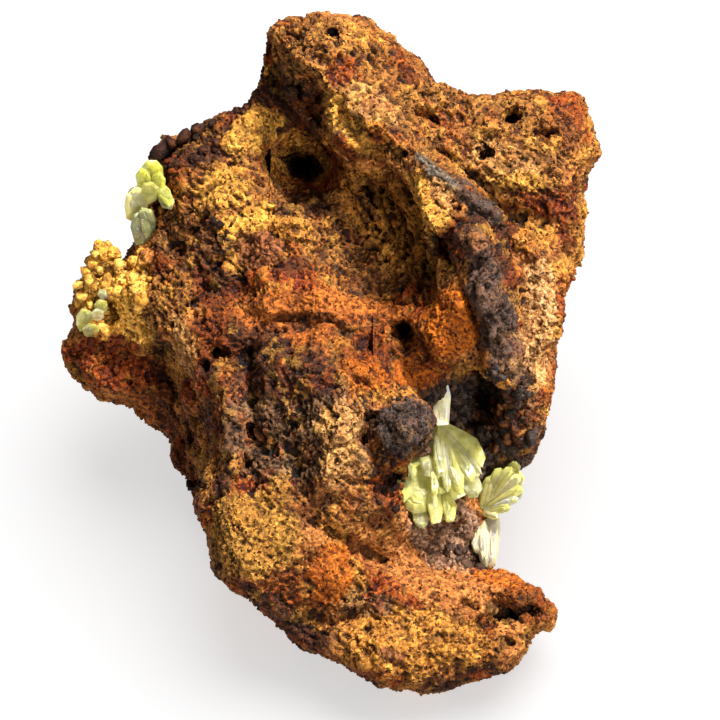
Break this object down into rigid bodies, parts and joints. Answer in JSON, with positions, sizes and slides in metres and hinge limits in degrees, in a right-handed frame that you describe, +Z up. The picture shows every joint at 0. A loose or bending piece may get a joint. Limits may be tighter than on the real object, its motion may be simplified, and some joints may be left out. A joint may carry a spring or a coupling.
{
  "type": "adamite mineral specimen on limonite matrix",
  "caption": "Craggy rust-brown limonite chunk with an open hollow that holds a fan of yellow-green adamite crystal blades; rests on a flat base.",
  "frame": {"origin": "on the surface that the specimen stands on, under the middle of its box", "axes": "+Z up, +X to the right across the show face as seen from the front, +Y away from the viewer; the show face is tipped back 45 degrees"},
  "size_m": [0.0816, 0.0968, 0.073],
  "materials": {
    "limonite": "rough, earthy, pitted; ochre, rust, brown and slate-black patches",
    "adamite": "clear to milky yellow-green crystal with glossy flat faces",
    "pale_mineral": "cream-white, fibrous, translucent"
  },
  "bodies": {
    "root": {"matrix": "limonite", "adamite_vug_spray": "adamite", "adamite_upper_left": "adamite", "adamite_left": "adamite", "pale_crust": "pale_mineral"}
  },
  "joints": []
}
